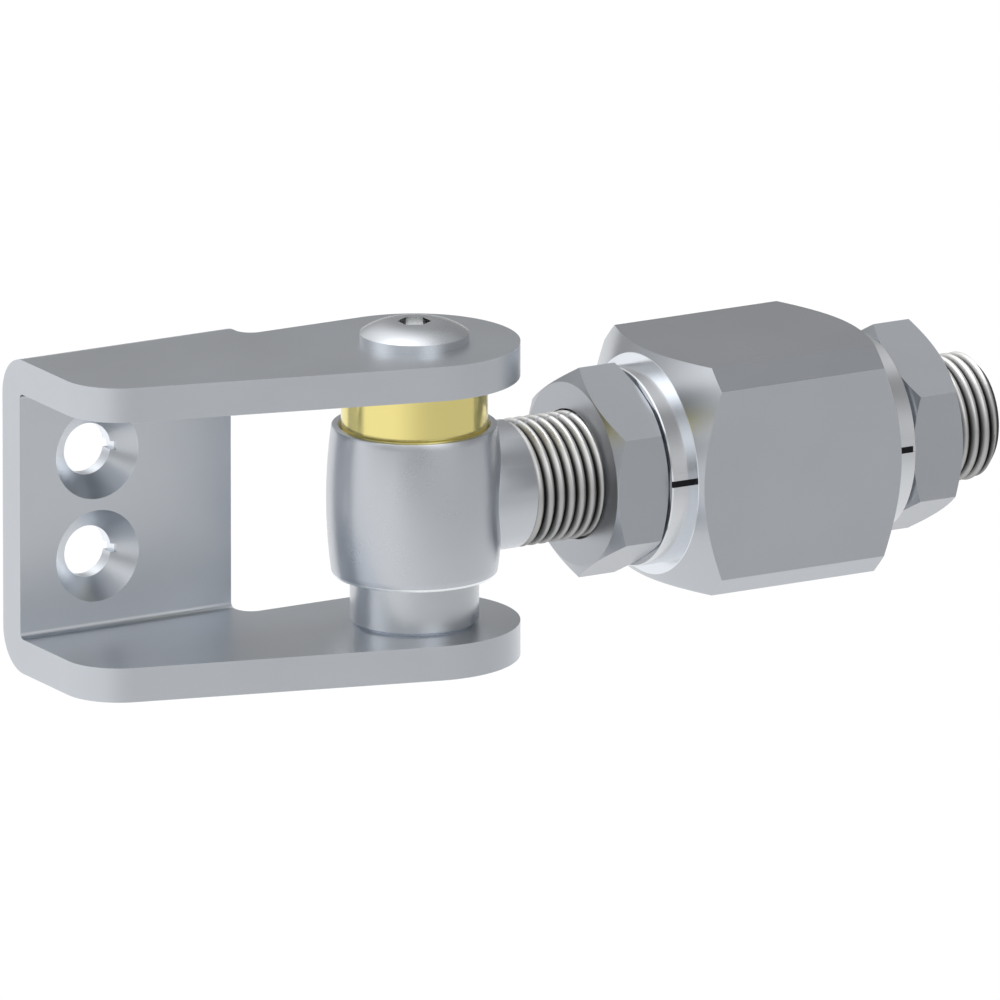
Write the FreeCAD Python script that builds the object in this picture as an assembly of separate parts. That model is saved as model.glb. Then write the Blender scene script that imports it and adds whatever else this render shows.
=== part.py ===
# Adjustable gate hinge: a folded post bracket, an eye bolt that turns on a
# pivot pin, and a block for the gate carried on two eccentric bushes.
#
# Frame, in millimetres: the origin lies midway between the two screw holes,
# on the face that meets the post. +Y points into the post, +X runs along the
# bolt towards its free end and +Z is up.
import FreeCAD, Part
import math
import os

# Folded post bracket
SHEET = 6.0                  # thickness of the folded sheet
EAR_GAP = 43.0               # clear height between the two ears
BEND_INNER_RADIUS = 1.0
PLATE_LEFT = 15.0            # from the screw holes to the plate's left end
PLATE_RIGHT = 26.0           # from the screw holes to the plate's right end
EAR_END_RADIUS = 18.0        # ear's round end, centred on the pin
EAR_SLANT_DEG = 15.0         # the ear's front edge against +X
EAR_CORNER_RADIUS = 10.0
EAR_RELIEF_RADIUS = 3.0      # inside corner where the ear runs past the plate
PIN_REACH = 49.0             # along X, screw holes to pin axis
PIN_FROM_POST = 28.6         # post face to pin axis

# Countersunk screw holes in the plate
HOLE_SPACING = 18.0
HOLE_DIAMETER = 9.0
HOLE_HEAD_DIAMETER = 16.0
HOLE_HEAD_ANGLE_DEG = 90.0
HOLE_NOTCH_REACH = 0.7       # the locking notch, past the hole's edge
HOLE_NOTCH_WIDTH = 1.5

# Pivot pin with a domed head
PIN_DIAMETER = 16.0
PIN_TAIL_DIAMETER = 14.0     # threaded tail, held in the lower ear
PIN_HEAD_DIAMETER = 18.6
PIN_HEAD_RIM = 1.5           # straight side of the head
PIN_HEAD_HEIGHT = 3.45
PIN_SOCKET_FLATS = 5.0       # hexagon key
PIN_SOCKET_DEPTH = 2.6
PIN_SOCKET_TOP_RADIUS = 3.4  # small flat ring round the socket
PIN_TAIL_CHAMFER = 0.8

# Spacer ring and brass bush on the pin
RING_DIAMETER = 22.0
RING_EDGE = 0.5
BUSH_COLLAR_DIAMETER = 25.0
BUSH_SLEEVE_DIAMETER = 20.0
BUSH_SEAT_DEPTH = 4.0        # how far the brass collar sits in the eye
BUSH_EDGE = 0.5
BUSH_END_PLAY = 0.2          # brass collar to upper ear

# Eye bolt
EYE_HEIGHT = 26.0
EYE_MID_DIAMETER = 30.0      # the barrel is crowned
EYE_CROWN = 0.9              # how far it narrows to either end, on the radius
EYE_BOTTOM_ROUND = 1.2
EYE_MOUTH_CHAMFER = 0.5
BOLT_DIAMETER = 22.0
BOLT_REACH = 109.6           # pin axis to the bolt's free end
BOLT_END_CHAMFER = 1.6

# Lock nuts
NUT_FLATS = 32.0
NUT_THICKNESS = 10.0
NUT_CHAMFER_DEG = 30.0
NUT_FACE_DIAMETER = 31.6
NUT_MOUTH_CHAMFER = 0.2

# Block for the gate
BLOCK_SIDE = 40.0
BLOCK_LENGTH = 40.0
BLOCK_FROM_PIN = 44.7        # pin axis to the block's near face
BLOCK_CORNER = 3.45          # chamfer of the four long edges
BLOCK_FACE_DIAMETER = 38.0   # turned face circle
BLOCK_CONE_DEG = 30.0

# Eccentric bushes
BUSH_OFFSET = 2.0            # sleeve axis from the bolt axis
SLEEVE_DIAMETER = 29.0
SLEEVE_LENGTH = 16.0
FLANGE_DIAMETER = 34.4
FLANGE_THICKNESS = 4.0
FLANGE_EDGE = 0.2            # chamfer of the flange's outer edge
SLEEVE_LEAD_CHAMFER = 0.8
MARK_WIDTH = 1.0             # index groove along the flange's rim
MARK_DEPTH = 0.3
MARK_ANGLE_DEG = 2.3         # above the horizontal, on the front side

# Clearances on the radius
RUNNING_FIT = 0.05
PRESSED_FIT = 0.02
SCREWED_FIT = 0.05

# Worked out from the sizes above
EAR_OUT = EAR_GAP / 2 + SHEET
EAR_IN = EAR_GAP / 2
PIN_X = PIN_REACH
PIN_Y = -PIN_FROM_POST
EYE_END_DIAMETER = EYE_MID_DIAMETER - 2 * EYE_CROWN
EYE_TOP = EYE_HEIGHT / 2
EYE_BOTTOM = -EYE_HEIGHT / 2
UP = FreeCAD.Vector(0, 0, 1)
ALONG = FreeCAD.Vector(1, 0, 0)
HEX_FLATS_TO_RADIUS = 1 / math.sqrt(3)


def at(x, y, z=0.0):
    return FreeCAD.Vector(x, y, z)


def line(a, b):
    return Part.LineSegment(a, b).toShape()


def arc(a, middle, b):
    return Part.Arc(a, middle, b).toShape()


def on_circle(centre, radius, degrees):
    """Point of a flat circle, its angle counted from +X."""
    turn = math.radians(degrees)
    return at(centre.x + radius * math.cos(turn), centre.y + radius * math.sin(turn), centre.z)


def outline(points):
    """Straight-sided closed wire."""
    return Part.makePolygon(points + [points[0]])


def extruded(wire, direction):
    return Part.Face(wire).extrude(direction)


def turned(edges, base, axis):
    """Solid of revolution from a closed profile."""
    return Part.Face(Part.Wire(edges)).revolve(base, axis, 360)


def turned_about_bolt(profile, offset_y=0.0):
    """Turned solid about a line beside the bolt axis, from (x, radius) pairs."""
    base = at(PIN_X, PIN_Y + offset_y)
    points = [base + at(x, 0, radius) for x, radius in profile]
    edges = [line(a, b) for a, b in zip(points, points[1:] + points[:1])]
    return turned(edges, base, ALONG)


def turned_about_pin(profile):
    """Turned solid about the pin axis, from (radius, z) pairs."""
    points = [at(PIN_X + radius, PIN_Y, z) for radius, z in profile]
    edges = [line(a, b) for a, b in zip(points, points[1:] + points[:1])]
    return turned(edges, at(PIN_X, PIN_Y), UP)


def cylinder(base, axis, radius, length):
    return Part.makeCylinder(radius, length, base, axis)


def hexagon(flats, centre, x_dir, y_dir):
    """Wire of a hexagon with two corners along y_dir."""
    corner = flats * HEX_FLATS_TO_RADIUS
    points = []
    for k in range(6):
        turn = math.radians(60 * k)
        points.append(centre + x_dir * (corner * math.sin(turn)) + y_dir * (corner * math.cos(turn)))
    return outline(points)


def ear_plan():
    """Plan outline of the bracket: plate, slanted ears and their round end."""
    pin = at(PIN_X, PIN_Y)
    slant = math.radians(EAR_SLANT_DEG)
    touch = on_circle(pin, EAR_END_RADIUS, -90 - EAR_SLANT_DEG)
    far_y = PIN_Y + EAR_END_RADIUS
    corner_y = touch.y + (touch.x + PLATE_LEFT) * math.tan(slant)
    setback = EAR_CORNER_RADIUS * math.tan((math.pi / 2 - slant) / 2)
    left_end = at(-PLATE_LEFT, corner_y + setback)
    slant_start = at(-PLATE_LEFT + setback * math.cos(slant), corner_y - setback * math.sin(slant))
    corner_centre = left_end + at(EAR_CORNER_RADIUS, 0)
    corner_mid = on_circle(corner_centre, EAR_CORNER_RADIUS, 180 + (90 - EAR_SLANT_DEG) / 2)
    relief_centre = at(PLATE_RIGHT + EAR_RELIEF_RADIUS, far_y + EAR_RELIEF_RADIUS)
    relief_start = relief_centre - at(0, EAR_RELIEF_RADIUS)
    relief_mid = on_circle(relief_centre, EAR_RELIEF_RADIUS, 225)
    relief_end = relief_centre - at(EAR_RELIEF_RADIUS, 0)
    end_mid = on_circle(pin, EAR_END_RADIUS, -EAR_SLANT_DEG / 2)
    end_stop = at(PIN_X, far_y)
    edges = [
        line(at(-PLATE_LEFT, 0), left_end),
        arc(left_end, corner_mid, slant_start),
        line(slant_start, touch),
        arc(touch, end_mid, end_stop),
        line(end_stop, relief_start),
        arc(relief_start, relief_mid, relief_end),
        line(relief_end, at(PLATE_RIGHT, 0)),
        line(at(PLATE_RIGHT, 0), at(-PLATE_LEFT, 0)),
    ]
    return Part.Wire(edges)


def fold_section(half_height, back_y, front_y, radius, x):
    """Section across the fold: straight in front, with two rounded corners at the back."""
    diagonal = radius * (1 - math.sqrt(0.5))
    top = half_height
    edges = [
        line(at(x, front_y, top), at(x, back_y - radius, top)),
        arc(at(x, back_y - radius, top), at(x, back_y - diagonal, top - diagonal),
            at(x, back_y, top - radius)),
        line(at(x, back_y, top - radius), at(x, back_y, radius - top)),
        arc(at(x, back_y, radius - top), at(x, back_y - diagonal, diagonal - top),
            at(x, back_y - radius, -top)),
        line(at(x, back_y - radius, -top), at(x, front_y, -top)),
        line(at(x, front_y, -top), at(x, front_y, top)),
    ]
    return Part.Wire(edges)


def screw_hole(z):
    """Cutter for one countersunk hole with its locking notch."""
    into_post = at(0, 1, 0)
    inner_y = -SHEET
    radius = HOLE_DIAMETER / 2
    head = HOLE_HEAD_DIAMETER / 2
    depth = (head - radius) / math.tan(math.radians(HOLE_HEAD_ANGLE_DEG / 2))
    bore = cylinder(at(0, inner_y - SHEET, z), into_post, radius, 3 * SHEET)
    cone = Part.makeCone(head, radius, depth, at(0, inner_y, z), into_post)
    notch = Part.makeBox(radius + HOLE_NOTCH_REACH, 3 * SHEET, HOLE_NOTCH_WIDTH,
                         at(0, inner_y - SHEET, z - HOLE_NOTCH_WIDTH / 2))
    return bore.fuse([cone, notch])


def u_bracket():
    front_y = PIN_Y - 2 * EAR_END_RADIUS
    left_x = -2 * PLATE_LEFT
    length = PIN_X + 2 * EAR_END_RADIUS - left_x
    outside = extruded(fold_section(EAR_OUT, 0, front_y, BEND_INNER_RADIUS + SHEET, left_x),
                       ALONG * length)
    inside = extruded(fold_section(EAR_IN, -SHEET, front_y - SHEET, BEND_INNER_RADIUS, left_x),
                      ALONG * length)
    plan = extruded(ear_plan(), UP * (2 * EAR_OUT))
    plan.translate(UP * -EAR_OUT)
    body = outside.cut(inside).common(plan)
    holes = [screw_hole(z) for z in (-HOLE_SPACING / 2, HOLE_SPACING / 2)]
    upper = cylinder(at(PIN_X, PIN_Y, 0), UP, PIN_DIAMETER / 2 + RUNNING_FIT, 2 * EAR_OUT)
    lower = cylinder(at(PIN_X, PIN_Y, -2 * EAR_OUT), UP, PIN_TAIL_DIAMETER / 2 + SCREWED_FIT,
                     2 * EAR_OUT)
    return body.cut(holes + [upper, lower])


def hinge_pin():
    """Pin with a domed head on the upper ear, shouldered on the lower ear."""
    radius = PIN_DIAMETER / 2
    tail = PIN_TAIL_DIAMETER / 2
    head = PIN_HEAD_DIAMETER / 2
    rim_z = EAR_OUT + PIN_HEAD_RIM
    top_z = EAR_OUT + PIN_HEAD_HEIGHT
    flat = PIN_SOCKET_TOP_RADIUS
    rise = top_z - rim_z
    dome = ((head - flat) ** 2 + rise ** 2) / (2 * rise)
    turn = math.asin((head - flat) / dome) / 2
    dome_mid = at(PIN_X + flat + dome * math.sin(turn), PIN_Y, top_z - dome * (1 - math.cos(turn)))
    stations = [(0, -EAR_OUT), (tail - PIN_TAIL_CHAMFER, -EAR_OUT),
                (tail, PIN_TAIL_CHAMFER - EAR_OUT), (tail, -EAR_IN), (radius, -EAR_IN),
                (radius, EAR_OUT), (head, EAR_OUT), (head, rim_z)]
    points = [at(PIN_X + r, PIN_Y, z) for r, z in stations]
    dome_start = at(PIN_X + flat, PIN_Y, top_z)
    centre_top = at(PIN_X, PIN_Y, top_z)
    edges = [line(a, b) for a, b in zip(points, points[1:])]
    edges.append(arc(points[-1], dome_mid, dome_start))
    edges.append(line(dome_start, centre_top))
    edges.append(line(centre_top, points[0]))
    body = turned(edges, at(PIN_X, PIN_Y), UP)
    mouth = hexagon(PIN_SOCKET_FLATS, at(PIN_X, PIN_Y, top_z - PIN_SOCKET_DEPTH),
                    ALONG, at(0, 1, 0))
    return body.cut(extruded(mouth, UP * (2 * PIN_SOCKET_DEPTH)))


def spacer_ring():
    """Ring that carries the eye on the lower ear."""
    bore = PIN_DIAMETER / 2 + RUNNING_FIT
    rim = RING_DIAMETER / 2
    return turned_about_pin([
        (bore, -EAR_IN), (rim - RING_EDGE, -EAR_IN), (rim, RING_EDGE - EAR_IN),
        (rim, EYE_BOTTOM - RING_EDGE), (rim - RING_EDGE, EYE_BOTTOM), (bore, EYE_BOTTOM)])


def brass_bush():
    """Bearing bush: a sleeve through the eye, with a thick collar above it."""
    bore = PIN_DIAMETER / 2 + RUNNING_FIT
    sleeve = BUSH_SLEEVE_DIAMETER / 2
    collar = BUSH_COLLAR_DIAMETER / 2
    top = EAR_IN - BUSH_END_PLAY
    return turned_about_pin([
        (bore, EYE_BOTTOM), (sleeve, EYE_BOTTOM), (sleeve, EYE_TOP - BUSH_SEAT_DEPTH),
        (collar, EYE_TOP - BUSH_SEAT_DEPTH), (collar, top - BUSH_EDGE),
        (collar - BUSH_EDGE, top), (bore, top)])


def eye_barrel():
    """Crowned barrel of the eye, rounded below and flat on top."""
    rim = EYE_END_DIAMETER / 2
    widest = EYE_MID_DIAMETER / 2
    crown = (EYE_TOP ** 2 + EYE_CROWN ** 2) / (2 * EYE_CROWN)
    crown_centre = at(PIN_X + widest - crown, PIN_Y, 0)
    round_z = EYE_BOTTOM + EYE_BOTTOM_ROUND
    inner = crown - EYE_BOTTOM_ROUND
    round_centre = crown_centre + at(math.sqrt(inner ** 2 - round_z ** 2), 0, round_z)
    outwards = (round_centre - crown_centre) * (1 / inner)
    crown_end = crown_centre + outwards * crown
    round_mid = round_centre + (outwards - UP).normalize() * EYE_BOTTOM_ROUND
    round_end = round_centre - UP * EYE_BOTTOM_ROUND
    top = at(PIN_X + rim, PIN_Y, EYE_TOP)
    middle = at(PIN_X + widest, PIN_Y, 0)
    axis_top = at(PIN_X, PIN_Y, EYE_TOP)
    axis_bottom = at(PIN_X, PIN_Y, EYE_BOTTOM)
    edges = [arc(top, middle, crown_end), arc(crown_end, round_mid, round_end),
             line(round_end, axis_bottom), line(axis_bottom, axis_top), line(axis_top, top)]
    return turned(edges, at(PIN_X, PIN_Y), UP)


def eye_bore():
    """Stepped bore for the brass bush."""
    sleeve = BUSH_SLEEVE_DIAMETER / 2 + PRESSED_FIT
    collar = BUSH_COLLAR_DIAMETER / 2 + PRESSED_FIT
    seat = EYE_TOP - BUSH_SEAT_DEPTH
    mouth = EYE_TOP - EYE_MOUTH_CHAMFER
    over = EYE_TOP + EYE_MOUTH_CHAMFER
    return turned_about_pin([
        (0, 2 * EYE_BOTTOM), (sleeve, 2 * EYE_BOTTOM), (sleeve, seat), (collar, seat),
        (collar, mouth), (collar + over - mouth, over), (0, over)])


def eye_bolt():
    radius = BOLT_DIAMETER / 2
    shank = turned_about_bolt([
        (0, 0), (0, radius), (BOLT_REACH - BOLT_END_CHAMFER, radius),
        (BOLT_REACH, radius - BOLT_END_CHAMFER), (BOLT_REACH, 0)])
    return eye_barrel().fuse(shank).cut(eye_bore()).removeSplitter()


def lock_nut(start_x):
    """Hexagon nut with both faces chamfered, two corners up and down."""
    bore = BOLT_DIAMETER / 2 + SCREWED_FIT
    face = NUT_FACE_DIAMETER / 2
    drop = math.tan(math.radians(NUT_CHAMFER_DEG))
    corner = NUT_FLATS * HEX_FLATS_TO_RADIUS
    run = (corner - face) * drop
    end_x = start_x + NUT_THICKNESS
    prism = extruded(hexagon(NUT_FLATS, at(PIN_X + start_x, PIN_Y), at(0, 1, 0), UP),
                     ALONG * NUT_THICKNESS)
    chamfers = turned_about_bolt([
        (start_x, 0), (start_x, face), (start_x + run, corner), (end_x - run, corner),
        (end_x, face), (end_x, 0)])
    mouth = bore + NUT_MOUTH_CHAMFER
    hole = turned_about_bolt([
        (start_x, 0), (start_x, mouth), (start_x + NUT_MOUTH_CHAMFER, bore),
        (end_x - NUT_MOUTH_CHAMFER, bore), (end_x, mouth), (end_x, 0)])
    return prism.common(chamfers).cut(hole)


def eccentric_bush(face_x, side):
    """Flanged bush: side is -1 at the block's near face and +1 at its far face."""
    rim = FLANGE_DIAMETER / 2
    outer_x = face_x + side * FLANGE_THICKNESS
    flange = turned_about_bolt([
        (face_x, 0), (face_x, rim), (outer_x - side * FLANGE_EDGE, rim),
        (outer_x, rim - FLANGE_EDGE), (outer_x, 0)])
    sleeve = SLEEVE_DIAMETER / 2
    tip_x = face_x - side * SLEEVE_LENGTH
    lead_x = tip_x + side * SLEEVE_LEAD_CHAMFER
    body = turned_about_bolt([
        (face_x, 0), (face_x, sleeve), (lead_x, sleeve),
        (tip_x, sleeve - SLEEVE_LEAD_CHAMFER), (tip_x, 0)], -BUSH_OFFSET)
    bore = BOLT_DIAMETER / 2 + RUNNING_FIT
    hole = turned_about_bolt([(outer_x, 0), (outer_x, bore), (tip_x, bore), (tip_x, 0)])
    return flange.fuse(body).cut([hole, index_groove(face_x, outer_x)])


def index_groove(face_x, outer_x):
    """Cutter for the index line along the flange's rim."""
    rim = FLANGE_DIAMETER / 2
    profile = [(face_x, rim - MARK_DEPTH), (face_x, rim + MARK_DEPTH),
               (outer_x, rim + MARK_DEPTH), (outer_x, rim - MARK_DEPTH)]
    points = [at(PIN_X + x, PIN_Y - radius, -MARK_WIDTH / 2) for x, radius in profile]
    groove = extruded(outline(points), UP * MARK_WIDTH)
    groove.rotate(at(PIN_X, PIN_Y), ALONG, -MARK_ANGLE_DEG)
    return groove


def gate_block():
    """Square block with turned ends; its bore is offset like the bushes."""
    half = BLOCK_SIDE / 2
    cut = BLOCK_CORNER
    start = BLOCK_FROM_PIN
    end = start + BLOCK_LENGTH
    section = [(half - cut, half), (half, half - cut), (half, cut - half), (half - cut, -half),
               (cut - half, -half), (-half, cut - half), (-half, half - cut), (cut - half, half)]
    square = outline([at(PIN_X + start, PIN_Y + y, z) for y, z in section])
    prism = extruded(square, ALONG * BLOCK_LENGTH)
    face = BLOCK_FACE_DIAMETER / 2
    reach = half * math.sqrt(2)
    run = (reach - face) * math.tan(math.radians(BLOCK_CONE_DEG))
    ends = turned_about_bolt([
        (start, 0), (start, face), (start + run, reach), (end - run, reach), (end, face), (end, 0)])
    bore = SLEEVE_DIAMETER / 2 + RUNNING_FIT
    hole = turned_about_bolt([(start, 0), (start, bore), (end, bore), (end, 0)], -BUSH_OFFSET)
    return prism.common(ends).cut(hole)


def build():
    """Every separate piece by its name."""
    near = BLOCK_FROM_PIN
    far = BLOCK_FROM_PIN + BLOCK_LENGTH
    return {
        "u_bracket": u_bracket(),
        "hinge_pin": hinge_pin(),
        "spacer_ring": spacer_ring(),
        "brass_bush": brass_bush(),
        "eye_bolt": eye_bolt(),
        "inner_nut": lock_nut(near - FLANGE_THICKNESS - NUT_THICKNESS),
        "outer_nut": lock_nut(far + FLANGE_THICKNESS),
        "inner_eccentric": eccentric_bush(near, -1),
        "outer_eccentric": eccentric_bush(far, 1),
        "gate_block": gate_block(),
    }


os.makedirs("parts", exist_ok=True)
for name, shape in build().items():
    solid = shape.Solids[0] if len(shape.Solids) == 1 else shape
    solid.exportStep("parts/" + name + ".step")
    box = solid.BoundBox
    print(name, len(shape.Solids), "solid", round(solid.Volume), "mm3", solid.isValid(),
          [round(v, 2) for v in (box.XMin, box.YMin, box.ZMin, box.XMax, box.YMax, box.ZMax)])
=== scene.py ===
import math

import bmesh
import bpy
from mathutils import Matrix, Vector

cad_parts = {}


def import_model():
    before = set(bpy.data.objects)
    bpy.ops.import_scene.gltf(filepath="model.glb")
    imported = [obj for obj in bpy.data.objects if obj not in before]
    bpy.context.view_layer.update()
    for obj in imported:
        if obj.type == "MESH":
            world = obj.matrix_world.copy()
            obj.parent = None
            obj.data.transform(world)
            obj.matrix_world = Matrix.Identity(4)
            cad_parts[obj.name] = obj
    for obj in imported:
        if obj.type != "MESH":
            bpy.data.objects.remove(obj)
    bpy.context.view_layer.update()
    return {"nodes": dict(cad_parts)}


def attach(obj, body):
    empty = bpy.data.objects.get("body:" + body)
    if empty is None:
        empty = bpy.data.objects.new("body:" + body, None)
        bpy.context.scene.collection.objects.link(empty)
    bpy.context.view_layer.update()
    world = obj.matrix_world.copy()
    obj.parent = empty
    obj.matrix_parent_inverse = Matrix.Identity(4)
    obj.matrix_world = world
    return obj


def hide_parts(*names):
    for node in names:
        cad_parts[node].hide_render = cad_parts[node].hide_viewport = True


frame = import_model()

MM = 0.001

# Pivot axis of the hinge in the row frame, in metres
PIN = Vector((0.049, -0.0286, 0.0))

# Photograph's view
VIEW_AZIMUTH_DEG = -29.826
VIEW_ELEVATION_DEG = 15.146
VIEW_TARGET = Vector((0.061552, -0.035907, -0.000465))
VIEW_WIDTH = 0.16967
LENS_MM = 1400.0
SENSOR_MM = 36.0

# Eye bolt, which is drawn here with its real thread
EYE_TOP = 13.0 * MM
EYE_MID_RADIUS = 15.0 * MM
EYE_END_RADIUS = 14.1 * MM
EYE_BOTTOM_EDGE = 0.45 * MM
EYE_TOP_EDGE = 0.3 * MM
SLEEVE_BORE = 10.02 * MM
COLLAR_BORE = 12.52 * MM
COLLAR_SEAT = 9.0 * MM
BOLT_RADIUS = 11.0 * MM
BOLT_END = 109.6 * MM
BOLT_END_CHAMFER = 1.6 * MM
THREAD_START = 17.9 * MM
THREAD_PITCH = 2.04 * MM
THREAD_DEPTH = 1.15 * MM
THREAD_ROUNDNESS = 2.0
THREAD_PHASE = 0.35
THREAD_SIDES = 96
THREAD_STEPS = 12

# Index lines in the grooves of the two eccentric bushes
BLOCK_NEAR = 44.7 * MM
BLOCK_FAR = 84.7 * MM
FLANGE_RADIUS = 17.2 * MM
FLANGE_THICKNESS = 4.0 * MM
FLANGE_EDGE = 0.2 * MM
MARK_WIDTH = 1.1 * MM
MARK_DEPTH = 0.25 * MM
MARK_PROUD = 0.02 * MM
MARK_ANGLE_DEG = 2.3
OUTER_MARK_LENGTH = 3.35 * MM

# Places on the bracket and on the pin where painted light and shade go into the colour, and the smoother
# socket
SHEET = 6.0 * MM
PLATE_LEFT = -14.9 * MM
EAR_INSIDE = 21.5 * MM
EAR_OUTSIDE = 27.5 * MM
HOLE_SPACING = 18.0 * MM
HOLE_REACH = 5.3 * MM
HOLE_BOTTOM = -2.5 * MM
SINK_REACH = 9.0 * MM
SOCKET_RADIUS = 2.95 * MM
SOCKET_FLOOR = 28.35 * MM
HEAD_RIM = 29.0 * MM
HEAD_TOP = 30.95 * MM

# Wear and unevenness of the bare metal
WEAR_REACH = 0.2 * MM
WEAR = 1.10
CLOUDINESS = 0.02
SCRATCH_DEPTH = 0.00000003

# Studio
FLOOR_Z = -0.22
FLOOR_REACH = 30.0
FLOOR_COLOUR = (0.62, 0.62, 0.62)
FLOOR_LIFT = 0.37
FLOOR_LIFT_AZIMUTH_DEG = 325
FLOOR_LIFT_START = -0.90
FLOOR_LIFT_END = 0.15
ROOM_LEVEL = 0.37


# ---- Node materials ----

def new_material(name):
    material = bpy.data.materials.new(name)
    material.use_nodes = True
    return material, material.node_tree.nodes, material.node_tree.links


def add(nodes, kind, **settings):
    node = nodes.new(kind)
    for key, value in settings.items():
        setattr(node, key, value)
    return node


def feed(links, socket, value):
    """Sets a socket to a number or colour, or links another node's output to it."""
    if isinstance(value, bpy.types.NodeSocket):
        links.new(value, socket)
    elif isinstance(value, tuple) and len(value) == 3 and socket.type == "RGBA":
        socket.default_value = (*value, 1.0)
    else:
        socket.default_value = value


def object_place(nodes, links, scale=(1, 1, 1), turn=(0, 0, 0)):
    """Place on the object in the row frame, stretched."""
    where = add(nodes, "ShaderNodeTexCoord")
    mapping = add(nodes, "ShaderNodeMapping")
    mapping.inputs["Scale"].default_value = scale
    mapping.inputs["Rotation"].default_value = turn
    links.new(where.outputs["Object"], mapping.inputs["Vector"])
    return mapping.outputs["Vector"]


def noise(nodes, links, vector, scale, detail=3.0, roughness=0.5):
    node = add(nodes, "ShaderNodeTexNoise")
    node.inputs["Scale"].default_value = scale
    node.inputs["Detail"].default_value = detail
    node.inputs["Roughness"].default_value = roughness
    links.new(vector, node.inputs["Vector"])
    return node.outputs["Fac"]


def remap(nodes, links, value, low, high, to_low, to_high):
    node = add(nodes, "ShaderNodeMapRange")
    node.inputs["From Min"].default_value = low
    node.inputs["From Max"].default_value = high
    node.inputs["To Min"].default_value = to_low
    node.inputs["To Max"].default_value = to_high
    links.new(value, node.inputs["Value"])
    return node.outputs["Result"]


def calc(nodes, links, operation, a, b=0.0):
    node = add(nodes, "ShaderNodeMath", operation=operation)
    feed(links, node.inputs[0], a)
    feed(links, node.inputs[1], b)
    return node.outputs["Value"]


def blend(nodes, links, factor, first, second):
    node = add(nodes, "ShaderNodeMix", data_type="RGBA")
    colours = [socket for socket in node.inputs if socket.type == "RGBA"]
    links.new(factor, node.inputs["Factor"])
    feed(links, colours[0], first)
    feed(links, colours[1], second)
    return [socket for socket in node.outputs if socket.type == "RGBA"][0]


def parts_of_place(nodes, links):
    where = add(nodes, "ShaderNodeTexCoord")
    parts = add(nodes, "ShaderNodeSeparateXYZ")
    links.new(where.outputs["Object"], parts.inputs["Vector"])
    return parts.outputs


def distance_from_axis(nodes, links, axis):
    """Distance from the pin's axis or from the bolt's axis."""
    parts = parts_of_place(nodes, links)
    across = calc(nodes, links, "SUBTRACT", parts["Y"], PIN.y)
    if axis == "pin":
        other = calc(nodes, links, "SUBTRACT", parts["X"], PIN.x)
    else:
        other = parts["Z"]
    total = calc(nodes, links, "ADD", calc(nodes, links, "POWER", across, 2.0),
                 calc(nodes, links, "POWER", other, 2.0))
    return calc(nodes, links, "SQRT", total)


def rubbed_edge(nodes, links):
    """1 close to a sharp outer edge."""
    rounded = add(nodes, "ShaderNodeBevel", samples=3)
    rounded.inputs["Radius"].default_value = WEAR_REACH
    flat = add(nodes, "ShaderNodeNewGeometry")
    agree = add(nodes, "ShaderNodeVectorMath", operation="DOT_PRODUCT")
    links.new(rounded.outputs["Normal"], agree.inputs[0])
    links.new(flat.outputs["Normal"], agree.inputs[1])
    return remap(nodes, links, agree.outputs["Value"], 0.985, 0.80, 0.0, 1.0)


def between(nodes, links, value, low, high, soft=0.03 * MM):
    """1 where the value lies between two limits."""
    above = remap(nodes, links, value, low - soft, low, 0.0, 1.0)
    return calc(nodes, links, "MULTIPLY", above, remap(nodes, links, value, high + soft, high, 0.0, 1.0))


def product(nodes, links, first, *others):
    """All values multiplied."""
    for other in others:
        first = calc(nodes, links, "MULTIPLY", first, other)
    return first


def brightened(nodes, links, tone, share, amount):
    """Colour made brighter by the amount, where the share is 1."""
    factor = calc(nodes, links, "ADD", calc(nodes, links, "MULTIPLY", share, amount), 1.0)
    scaled = add(nodes, "ShaderNodeVectorMath", operation="SCALE")
    links.new(tone, scaled.inputs[0])
    links.new(factor, scaled.inputs["Scale"])
    return scaled.outputs["Vector"]


def fold_inside(nodes, links):
    """Inner faces of the bracket, towards the fold."""
    parts = parts_of_place(nodes, links)
    height = calc(nodes, links, "ABSOLUTE", parts["Z"])
    depth = remap(nodes, links, parts["Y"], -26 * MM, -8 * MM, 0.0, 1.0)
    return product(nodes, links, depth, between(nodes, links, height, -1.0, EAR_INSIDE),
                   between(nodes, links, parts["Y"], -1.0, -SHEET),
                   between(nodes, links, parts["X"], PLATE_LEFT, 1.0))


def hole_walls(nodes, links):
    """Straight walls of the two screw holes, with their notches."""
    parts = parts_of_place(nodes, links)
    height = calc(nodes, links, "ABSOLUTE", parts["Z"])
    height = calc(nodes, links, "SUBTRACT", height, HOLE_SPACING / 2)
    radius = calc(nodes, links, "SQRT", calc(nodes, links, "ADD",
                                             calc(nodes, links, "POWER", parts["X"], 2.0),
                                             calc(nodes, links, "POWER", height, 2.0)))
    return product(nodes, links, between(nodes, links, radius, -1.0, HOLE_REACH),
                   between(nodes, links, parts["Y"], HOLE_BOTTOM, -0.1 * MM))


def screw_sinks(nodes, links):
    """Turned countersinks of the two screw holes."""
    parts = parts_of_place(nodes, links)
    return product(nodes, links, between(nodes, links, parts["Y"], 0.05 * MM - SHEET, HOLE_BOTTOM),
                   between(nodes, links, parts["X"], -SINK_REACH, SINK_REACH))


def bracket_painted_light(nodes, links, tone):
    """Bracket's colour, by place: painted light in the fold and the screw holes, painted shade in the sinks.
    """
    # Painted light: the inner faces towards the fold are lightened where shade falls.
    tone = brightened(nodes, links, tone, fold_inside(nodes, links), 0.14)
    # Painted shade: the countersinks are darkened a little.
    tone = brightened(nodes, links, tone, screw_sinks(nodes, links), -0.05)
    # Painted light: the walls of the screw holes are lightened where shade falls.
    return brightened(nodes, links, tone, hole_walls(nodes, links), 0.55)


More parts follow.
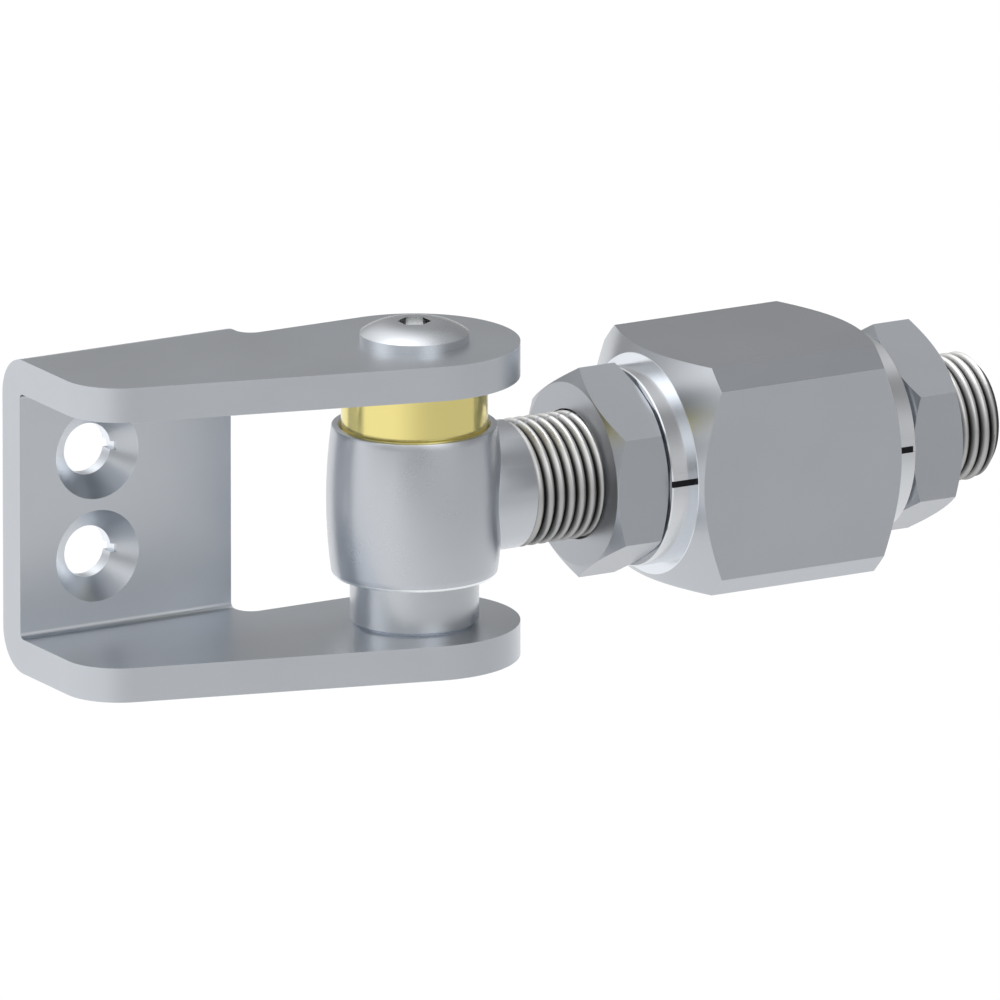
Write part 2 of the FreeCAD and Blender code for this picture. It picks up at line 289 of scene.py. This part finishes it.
def head_side(nodes, links):
    """Straight side of the pin's domed head."""
    return between(nodes, links, parts_of_place(nodes, links)["Z"], EAR_OUTSIDE, HEAD_RIM)


def ring_foot(nodes, links):
    """Lowest half millimetre of the spacer ring."""
    return between(nodes, links, parts_of_place(nodes, links)["Z"], -EAR_INSIDE, 0.5 * MM - EAR_INSIDE)


def key_socket(nodes, links):
    """Inside of the hexagon socket of the pin."""
    radius = distance_from_axis(nodes, links, "pin")
    return product(nodes, links, between(nodes, links, radius, -1.0, SOCKET_RADIUS),
                   between(nodes, links, parts_of_place(nodes, links)["Z"], SOCKET_FLOOR - 0.1 * MM,
                           HEAD_TOP - 0.05 * MM))


def pin_painted_light(nodes, links, tone):
    """Pin's and ring's colour, by place, with painted light on the head side, ring foot and key socket."""
    # Painted light: the straight side of the head is brightened.
    tone = brightened(nodes, links, tone, head_side(nodes, links), 0.22)
    # Painted highlight: the ring's lowest half millimetre is brightened.
    tone = brightened(nodes, links, tone, ring_foot(nodes, links), 0.55)
    # Painted light: the inside of the key socket is brightened where shade falls.
    return brightened(nodes, links, tone, key_socket(nodes, links), 0.75)


def pin_gloss(nodes, links, sheen):
    """The key socket is smoother than the rest of the pin."""
    smoother = calc(nodes, links, "MULTIPLY", key_socket(nodes, links), 0.17)
    return calc(nodes, links, "SUBTRACT", sheen, smoother)


def eye_painted_highlight(nodes, links, tone):
    """Painted highlight along the lower edge of the eye."""
    edge = between(nodes, links, parts_of_place(nodes, links)["Z"], -EYE_TOP - 0.1 * MM,
                   EYE_BOTTOM_EDGE - EYE_TOP)
    # Painted highlight: the lowest band of the eye is brightened in the colour.
    return brightened(nodes, links, tone, edge, 0.72)


def block_ends(nodes, links):
    """The two turned end faces of the block."""
    parts = parts_of_place(nodes, links)
    middle = PIN.x + (BLOCK_NEAR + BLOCK_FAR) / 2
    away = calc(nodes, links, "ABSOLUTE", calc(nodes, links, "SUBTRACT", parts["X"], middle))
    return between(nodes, links, away, (BLOCK_FAR - BLOCK_NEAR) / 2 - 0.04 * MM, 1.0)


def block_tone(nodes, links, tone):
    """The turned ends are brighter than the sides."""
    return brightened(nodes, links, tone, block_ends(nodes, links), 0.55)


def block_gloss(nodes, links, sheen):
    """The turned ends are smoother than the sides."""
    smoother = calc(nodes, links, "MULTIPLY", block_ends(nodes, links), 0.06)
    return calc(nodes, links, "SUBTRACT", sheen, smoother)


def metal(name, colour, roughness, grain, grain_depth, tinted=None, glossed=None):
    """Bare metal: uneven sheen, fine grain, small scratches and slightly brighter rubbed edges.

    grain is how closely the grain lies along each axis, and grain_depth its relief in metres. tinted changes
    the colour by place, mostly with painted light and shade, and glossed the roughness where the piece's
    finish differs.
    """
    material, nodes, links = new_material(name)
    shader = nodes["Principled BSDF"]
    shader.inputs["Metallic"].default_value = 1.0
    clouds = noise(nodes, links, object_place(nodes, links), 45.0, 4.0, 0.55)
    fine = noise(nodes, links, object_place(nodes, links, grain), 1.0, 3.0, 0.6)
    scratch = noise(nodes, links, object_place(nodes, links, (90, 2600, 900), (0.5, 0.9, 0.6)), 1.0, 2.0, 0.5)
    scratches = remap(nodes, links, scratch, 0.66, 0.78, 0.0, 1.0)
    edge = calc(nodes, links, "MULTIPLY", rubbed_edge(nodes, links),
                remap(nodes, links, clouds, 0.35, 0.65, 0.35, 1.0))

    dark = tuple(c * (1.0 - CLOUDINESS) for c in colour)
    light = tuple(min(1.0, c * (1.0 + CLOUDINESS)) for c in colour)
    worn = tuple(min(1.0, c * WEAR) for c in colour)
    tone = blend(nodes, links, remap(nodes, links, clouds, 0.3, 0.7, 0.0, 1.0), dark, light)
    tone = blend(nodes, links, edge, tone, worn)
    if tinted:
        tone = tinted(nodes, links, tone)
    links.new(tone, shader.inputs["Base Color"])

    sheen = remap(nodes, links, clouds, 0.3, 0.7, roughness - 0.02, roughness + 0.02)
    sheen = calc(nodes, links, "ADD", sheen, remap(nodes, links, fine, 0.3, 0.7, -0.006, 0.006))
    sheen = calc(nodes, links, "SUBTRACT", sheen, calc(nodes, links, "MULTIPLY", edge, 0.05))
    sheen = calc(nodes, links, "ADD", sheen, calc(nodes, links, "MULTIPLY", scratches, 0.01))
    if glossed:
        sheen = glossed(nodes, links, sheen)
    links.new(sheen, shader.inputs["Roughness"])

    # Relief, in metres
    height = calc(nodes, links, "MULTIPLY", fine, grain_depth)
    height = calc(nodes, links, "SUBTRACT", height, calc(nodes, links, "MULTIPLY", scratches, SCRATCH_DEPTH))
    bump = add(nodes, "ShaderNodeBump")
    bump.inputs["Strength"].default_value = 1.0
    bump.inputs["Distance"].default_value = 1.0
    links.new(height, bump.inputs["Height"])
    links.new(bump.outputs["Normal"], shader.inputs["Normal"])
    return material


def thread_metal(name, colour, roughness):
    """Rolled thread: painted shade darkens the roots, which are also rougher, and painted light brightens the
    top.
    """
    material, nodes, links = new_material(name)
    shader = nodes["Principled BSDF"]
    shader.inputs["Metallic"].default_value = 1.0
    shader.inputs["Specular Tint"].default_value = (0.45, 0.45, 0.45, 1.0)
    clouds = noise(nodes, links, object_place(nodes, links), 160.0, 4.0, 0.6)
    radius = distance_from_axis(nodes, links, "bolt")
    height = remap(nodes, links, radius, BOLT_RADIUS - 0.72 * THREAD_DEPTH,
                   BOLT_RADIUS - 0.15 * THREAD_DEPTH, 0.0, 1.0)
    patchy = calc(nodes, links, "ADD", height, remap(nodes, links, clouds, 0.3, 0.7, -0.04, 0.04))
    # Painted shade: the roots take a far darker colour than the crests.
    root = tuple(c * 0.12 for c in colour)
    tone = blend(nodes, links, patchy, root, colour)
    # Painted light: the upper side of the thread is brightened.
    painted_top_light = remap(nodes, links, parts_of_place(nodes, links)["Z"], 0.0, 8 * MM, 0.0, 1.0)
    links.new(brightened(nodes, links, tone, painted_top_light, 0.85), shader.inputs["Base Color"])
    sheen = remap(nodes, links, height, 0.0, 1.0, roughness + 0.10, roughness)
    sheen = calc(nodes, links, "ADD", sheen, remap(nodes, links, clouds, 0.3, 0.7, -0.03, 0.03))
    links.new(sheen, shader.inputs["Roughness"])
    relief = noise(nodes, links, object_place(nodes, links, (900, 900, 900)), 1.0, 3.0, 0.6)
    bump = add(nodes, "ShaderNodeBump")
    bump.inputs["Distance"].default_value = 0.0000002
    links.new(relief, bump.inputs["Height"])
    links.new(bump.outputs["Normal"], shader.inputs["Normal"])
    return material


def paint(name, colour):
    """Thin black filling of the engraved index lines."""
    material, nodes, links = new_material(name)
    shader = nodes["Principled BSDF"]
    shader.inputs["Specular IOR Level"].default_value = 0.15
    patches = noise(nodes, links, object_place(nodes, links), 900.0, 3.0, 0.6)
    lighter = tuple(c * 2.2 for c in colour)
    links.new(blend(nodes, links, patches, colour, lighter), shader.inputs["Base Color"])
    links.new(remap(nodes, links, patches, 0.3, 0.7, 0.45, 0.65), shader.inputs["Roughness"])
    bump = add(nodes, "ShaderNodeBump")
    bump.inputs["Distance"].default_value = 0.00002
    links.new(patches, bump.inputs["Height"])
    links.new(bump.outputs["Normal"], shader.inputs["Normal"])
    return material


# ---- Meshes ----

def object_from(mesh_data, name):
    mesh = bpy.data.meshes.new(name)
    mesh_data.to_mesh(mesh)
    mesh_data.free()
    obj = bpy.data.objects.new(name, mesh)
    bpy.context.scene.collection.objects.link(obj)
    return obj


def about_pin(radius, along, turn):
    return PIN + Vector((radius * math.cos(turn), radius * math.sin(turn), along))


def about_bolt(radius, along, turn):
    return PIN + Vector((along, -radius * math.sin(turn), radius * math.cos(turn)))


def ring_of(mesh, place, radius, along, sides):
    if radius < 1e-9:
        return [mesh.verts.new(place(0.0, along, 0.0))]
    return [mesh.verts.new(place(radius, along, 2 * math.pi * k / sides)) for k in range(sides)]


def turned_mesh(profile, place, sides):
    """Solid of revolution; profile holds (radius, along) pairs from axis to axis."""
    mesh = bmesh.new()
    rings = [ring_of(mesh, place, radius, along, sides) for radius, along in profile]
    for a, b in zip(rings, rings[1:]):
        for k in range(sides):
            corners = [a[k % len(a)], a[(k + 1) % len(a)], b[(k + 1) % len(b)], b[k % len(b)]]
            mesh.faces.new(list(dict.fromkeys(corners)))
    bmesh.ops.recalc_face_normals(mesh, faces=mesh.faces)
    return mesh


def eye_profile():
    """Outside of the eye: crowned, with small broken edges below and on top."""
    bulge = EYE_MID_RADIUS - EYE_END_RADIUS
    crown = (EYE_TOP ** 2 + bulge ** 2) / (2 * bulge)
    centre = EYE_MID_RADIUS - crown
    points = [(0.0, -EYE_TOP)]
    low = EYE_BOTTOM_EDGE - EYE_TOP
    top = EYE_TOP - EYE_TOP_EDGE
    foot = centre + math.sqrt(crown ** 2 - low ** 2)
    points.append((foot - 0.5 * EYE_BOTTOM_EDGE, -EYE_TOP))
    for k in range(25):
        z = low + (top - low) * k / 24
        points.append((centre + math.sqrt(crown ** 2 - z ** 2), z))
    rim = points[-1][0]
    points.append((rim - 0.3 * EYE_TOP_EDGE, EYE_TOP - 0.3 * EYE_TOP_EDGE))
    points.append((rim - EYE_TOP_EDGE, EYE_TOP))
    points.append((0.0, EYE_TOP))
    return points


def bore_profile():
    """What is cut from the eye for the brass bush."""
    over = 4 * MM
    mouth = 0.5 * MM
    return [(0.0, -EYE_TOP - over), (SLEEVE_BORE, -EYE_TOP - over), (SLEEVE_BORE, COLLAR_SEAT),
            (COLLAR_BORE, COLLAR_SEAT), (COLLAR_BORE, EYE_TOP - mouth),
            (COLLAR_BORE + mouth, EYE_TOP), (COLLAR_BORE + mouth, EYE_TOP + over), (0.0, EYE_TOP + over)]


def combined(obj, other, operation):
    """Result of a solid operation on the two, which uses up both."""
    modifier = obj.modifiers.new("solid", "BOOLEAN")
    modifier.operation = operation
    modifier.solver = "EXACT"
    modifier.object = other
    graph = bpy.context.evaluated_depsgraph_get()
    result = bpy.data.meshes.new_from_object(obj.evaluated_get(graph))
    obj.modifiers.clear()
    obj.data = result
    bpy.data.objects.remove(other)
    return obj


def thread_radius(along, turn):
    """Surface of the threaded shank at a place along the bolt and a turn about it."""
    phase = (along - THREAD_START) / THREAD_PITCH - turn / (2 * math.pi) + THREAD_PHASE
    away = 2 * abs(phase - math.floor(phase) - 0.5)
    run_out = min(1.0, max(0.0, (along - THREAD_START) / (0.5 * THREAD_PITCH)))
    chamfer = BOLT_RADIUS - max(0.0, along - (BOLT_END - BOLT_END_CHAMFER))
    return min(BOLT_RADIUS - THREAD_DEPTH * run_out * away ** THREAD_ROUNDNESS, chamfer)


def thread_mesh():
    """Helical surface from the end of the plain shank to the bolt's free end, open at its start."""
    mesh = bmesh.new()
    turns = math.ceil((BOLT_END - THREAD_START) / THREAD_PITCH) + 1
    rows = []
    for j in range(THREAD_SIDES + 1):
        turn = 2 * math.pi * (j % THREAD_SIDES) / THREAD_SIDES
        row = []
        for k in range(-THREAD_STEPS, turns * THREAD_STEPS + 1):
            share = k / THREAD_STEPS + j / THREAD_SIDES
            along = min(max(THREAD_START + THREAD_PITCH * share, THREAD_START), BOLT_END)
            row.append(mesh.verts.new(about_bolt(thread_radius(along, turn), along, turn)))
        rows.append(row)
    for a, b in zip(rows, rows[1:]):
        for k in range(len(a) - 1):
            mesh.faces.new((a[k], a[k + 1], b[k + 1], b[k]))
    bmesh.ops.remove_doubles(mesh, verts=mesh.verts, dist=1e-7)
    bmesh.ops.dissolve_degenerate(mesh, edges=mesh.edges, dist=1e-7)
    return object_from(mesh, "thread_part").data


def on_stub_end(face):
    return all(abs(v.co.x - PIN.x - THREAD_START) < 1e-6 for v in face.verts)


def eye_with_shank():
    """Bored eye and its plain shank as one mesh, open where the thread goes on."""
    eye = object_from(turned_mesh(eye_profile(), about_pin, 160), "eye_part")
    shank = [(0.0, 2 * MM), (BOLT_RADIUS, 2 * MM), (BOLT_RADIUS, THREAD_START), (0.0, THREAD_START)]
    stub = object_from(turned_mesh(shank, about_bolt, THREAD_SIDES), "stub_part")
    bore = object_from(turned_mesh(bore_profile(), about_pin, 160), "bore_part")
    return combined(combined(eye, stub, "UNION"), bore, "DIFFERENCE")


def eye_bolt():
    """Forged eye with its plain shank, and the rolled thread after it."""
    body = eye_with_shank()
    body.data.materials.clear()
    mesh = bmesh.new()
    mesh.from_mesh(body.data)
    bmesh.ops.delete(mesh, geom=[face for face in mesh.faces if on_stub_end(face)], context="FACES")
    first = len(mesh.faces)
    mesh.from_mesh(thread_mesh())
    mesh.faces.ensure_lookup_table()
    for number, face in enumerate(mesh.faces):
        face.material_index = 1 if number >= first else 0
    bmesh.ops.remove_doubles(mesh, verts=mesh.verts, dist=2e-6)
    open_end = [edge for edge in mesh.edges if edge.is_boundary]
    for face in bmesh.ops.holes_fill(mesh, edges=open_end, sides=0)["faces"]:
        face.material_index = 1
    bmesh.ops.recalc_face_normals(mesh, faces=mesh.faces)
    mesh.to_mesh(body.data)
    mesh.free()
    bpy.data.objects.remove(bpy.data.objects["thread_part"])
    body.name = "threaded_eye_bolt"
    body.data.name = "threaded_eye_bolt"
    body.data.shade_smooth()
    body.data.set_sharp_from_angle(angle=math.radians(32))
    return body


def index_mark(name, face_x, side, length):
    """Black filling of one groove along a flange's rim, a hair proud of the metal."""
    rim = FLANGE_RADIUS + MARK_PROUD
    root = FLANGE_RADIUS - MARK_DEPTH
    end_rim = rim if length < FLANGE_THICKNESS - FLANGE_EDGE else rim - FLANGE_EDGE
    near_x = face_x + side * 0.02 * MM
    bend_x = face_x + side * min(length, FLANGE_THICKNESS - FLANGE_EDGE)
    far_x = face_x + side * (length - 0.02 * MM)
    profile = [(near_x, root), (near_x, rim), (bend_x, rim), (far_x, end_rim), (far_x, root)]
    tilt = math.radians(MARK_ANGLE_DEG)
    out = Vector((0, -math.cos(tilt), math.sin(tilt)))
    across = Vector((0, math.sin(tilt), math.cos(tilt)))
    mesh = bmesh.new()
    sheets = []
    for shift in (-MARK_WIDTH / 2, MARK_WIDTH / 2):
        foot = PIN + across * shift
        sheets.append([mesh.verts.new(foot + Vector((x, 0, 0)) + out * radius) for x, radius in profile])
    count = len(profile)
    for k in range(count):
        after = (k + 1) % count
        mesh.faces.new((sheets[0][k], sheets[0][after], sheets[1][after], sheets[1][k]))
    mesh.faces.new(list(reversed(sheets[0])))
    mesh.faces.new(sheets[1])
    bmesh.ops.recalc_face_normals(mesh, faces=mesh.faces)
    bmesh.ops.bevel(mesh, geom=mesh.edges[:], offset=0.012 * MM, segments=2, affect="EDGES", profile=0.5)
    return object_from(mesh, name)


# ---- Studio ----

def camera():
    """Long lens at the photograph's angle, so that the view is nearly parallel."""
    data = bpy.data.cameras.new("camera")
    data.lens = LENS_MM
    data.sensor_width = SENSOR_MM
    distance = VIEW_WIDTH * LENS_MM / SENSOR_MM
    azimuth = math.radians(VIEW_AZIMUTH_DEG)
    elevation = math.radians(VIEW_ELEVATION_DEG)
    back = Vector((math.sin(azimuth) * math.cos(elevation), -math.cos(azimuth) * math.cos(elevation),
                   math.sin(elevation)))
    data.clip_start = 0.1
    data.clip_end = 4 * distance
    obj = bpy.data.objects.new("camera", data)
    obj.location = VIEW_TARGET + back * distance
    obj.rotation_euler = (-back).to_track_quat("-Z", "Y").to_euler()
    bpy.context.scene.collection.objects.link(obj)
    bpy.context.scene.camera = obj


def seen_directly(nodes, links):
    """1 for rays from the camera and for those that metal mirrors."""
    path = add(nodes, "ShaderNodeLightPath")
    either = calc(nodes, links, "MAXIMUM", path.outputs["Is Camera Ray"], path.outputs["Is Glossy Ray"])
    return calc(nodes, links, "MAXIMUM", either, path.outputs["Is Transmission Ray"])


def towards_back_left(nodes, links):
    """0 on the floor in front and to the right of the hinge, 1 behind it and to its left."""
    parts = parts_of_place(nodes, links)
    turn = math.radians(FLOOR_LIFT_AZIMUTH_DEG)
    along = calc(nodes, links, "ADD", calc(nodes, links, "MULTIPLY", parts["X"], math.sin(turn)),
                 calc(nodes, links, "MULTIPLY", parts["Y"], math.cos(turn)))
    soft = add(nodes, "ShaderNodeMapRange", interpolation_type="SMOOTHSTEP")
    soft.inputs["From Min"].default_value = FLOOR_LIFT_START
    soft.inputs["From Max"].default_value = FLOOR_LIFT_END
    links.new(along, soft.inputs["Value"])
    return soft.outputs["Result"]


def floor():
    """Wide pale floor well below the hinge, which hangs free as it does on its post."""
    mesh = bmesh.new()
    corners = ((-FLOOR_REACH, -FLOOR_REACH), (FLOOR_REACH, -FLOOR_REACH), (FLOOR_REACH, FLOOR_REACH),
               (-FLOOR_REACH, FLOOR_REACH))
    mesh.faces.new([mesh.verts.new((x, y, FLOOR_Z)) for x, y in corners])
    obj = object_from(mesh, "floor")
    material, nodes, links = new_material("floor_paper")
    nodes.remove(nodes["Principled BSDF"])
    diffuse = add(nodes, "ShaderNodeBsdfDiffuse")
    diffuse.inputs["Color"].default_value = (*FLOOR_COLOUR, 1)
    glow = add(nodes, "ShaderNodeEmission")
    lift = calc(nodes, links, "MULTIPLY", towards_back_left(nodes, links), FLOOR_LIFT)
    links.new(calc(nodes, links, "MULTIPLY", seen_directly(nodes, links), lift), glow.inputs["Strength"])
    total = add(nodes, "ShaderNodeAddShader")
    links.new(diffuse.outputs["BSDF"], total.inputs[0])
    links.new(glow.outputs["Emission"], total.inputs[1])
    links.new(total.outputs["Shader"], nodes["Material Output"].inputs["Surface"])
    obj.data.materials.append(material)


def sky_patch(nodes, links, azimuth_deg, elevation_deg, width_deg, strength):
    """Round soft patch of light in the sky; the azimuth counts from +Y towards +X."""
    azimuth = math.radians(azimuth_deg)
    elevation = math.radians(elevation_deg)
    where = add(nodes, "ShaderNodeTexCoord")
    near = add(nodes, "ShaderNodeVectorMath", operation="DOT_PRODUCT")
    near.inputs[1].default_value = (math.sin(azimuth) * math.cos(elevation),
                                    math.cos(azimuth) * math.cos(elevation), math.sin(elevation))
    links.new(where.outputs["Generated"], near.inputs[0])
    angle = calc(nodes, links, "ARCCOSINE", calc(nodes, links, "MINIMUM", near.outputs["Value"], 0.999999))
    soft = add(nodes, "ShaderNodeMapRange", interpolation_type="SMOOTHSTEP")
    soft.inputs["From Min"].default_value = math.radians(width_deg)
    soft.inputs["From Max"].default_value = 0.0
    soft.inputs["To Max"].default_value = strength
    links.new(angle, soft.inputs["Value"])
    return soft.outputs["Result"]


def world():
    """Soft room with a few wide patches of light."""
    data = bpy.data.worlds.new("studio")
    bpy.context.scene.world = data
    data.use_nodes = True
    nodes = data.node_tree.nodes
    links = data.node_tree.links
    overhead = sky_patch(nodes, links, 0, 90, 35, 1.60)
    upper_left = sky_patch(nodes, links, 300, 60, 35, 1.75)
    upper_back = sky_patch(nodes, links, 0, 60, 35, 0.95)
    upper_right = sky_patch(nodes, links, 70, 58, 35, 0.25)
    back = sky_patch(nodes, links, 0, 30, 35, 0.60)
    front = sky_patch(nodes, links, 180, 30, 35, 1.52)
    front_left = sky_patch(nodes, links, 225, 30, 35, 0.79)
    left = sky_patch(nodes, links, 270, 30, 35, 1.29)
    low_front = sky_patch(nodes, links, 157.5, 7, 28, 0.33)
    low_left = sky_patch(nodes, links, 292.5, 7, 30, 0.90)
    back_left = sky_patch(nodes, links, 318, 27, 35, 0.28)
    total = ROOM_LEVEL
    for patch in (overhead, upper_left, upper_back, upper_right, back, front, front_left, left, low_front,
                  low_left, back_left):
        total = calc(nodes, links, "ADD", patch, total)
    nodes["Background"].inputs["Color"].default_value = (0.99, 0.995, 1.0, 1.0)
    links.new(total, nodes["Background"].inputs["Strength"])


camera()
floor()
world()

# ---- Finishes ----

bracket_steel = metal("bracket_steel", (0.56, 0.585, 0.62), 0.30, (250, 2600, 2600), 0.00000015,
                      tinted=bracket_painted_light)
pin_steel = metal("pin_steel", (0.565, 0.585, 0.61), 0.28, (900, 900, 900), 0.00000002,
                  tinted=pin_painted_light, glossed=pin_gloss)
bush_brass = metal("bush_brass", (0.85, 0.735, 0.285), 0.16, (900, 900, 1200), 0.00000002)
bolt_steel = metal("bolt_steel", (0.56, 0.58, 0.615), 0.28, (900, 900, 900), 0.00000002,
                   tinted=eye_painted_highlight)
nut_steel = metal("nut_steel", (0.43, 0.447, 0.475), 0.33, (1500, 1500, 1500), 0.00000002)
eccentric_steel = metal("eccentric_steel", (0.68, 0.695, 0.715), 0.19, (900, 900, 900), 0.00000002)
block_steel = metal("block_steel", (0.50, 0.52, 0.55), 0.25, (260, 2600, 2600), 0.00000015,
                    tinted=block_tone, glossed=block_gloss)
thread_steel = thread_metal("thread_steel", (0.50, 0.497, 0.49), 0.44)
mark_paint = paint("mark_paint", (0.004, 0.004, 0.005))


def finish(material, *names):
    for name in names:
        slots = frame["nodes"][name].data.materials
        slots.clear()
        slots.append(material)


finish(bracket_steel, "u_bracket")
finish(pin_steel, "hinge_pin", "spacer_ring")
finish(bush_brass, "brass_bush")
finish(bolt_steel, "eye_bolt")
finish(nut_steel, "inner_nut", "outer_nut")
finish(eccentric_steel, "inner_eccentric", "outer_eccentric")
finish(block_steel, "gate_block")

bolt = eye_bolt()
bolt.data.materials.append(bolt_steel)
bolt.data.materials.append(thread_steel)
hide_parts("eye_bolt")
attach(bolt, "eye_bolt")


def add_mark(name, face_x, side, length):
    mark = index_mark(name, face_x, side, length)
    mark.data.materials.append(mark_paint)
    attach(mark, "eccentrics")


add_mark("inner_index_mark", BLOCK_NEAR, -1, FLANGE_THICKNESS)
add_mark("outer_index_mark", BLOCK_FAR, 1, OUTER_MARK_LENGTH)

bpy.context.scene.view_settings.view_transform = "Standard"
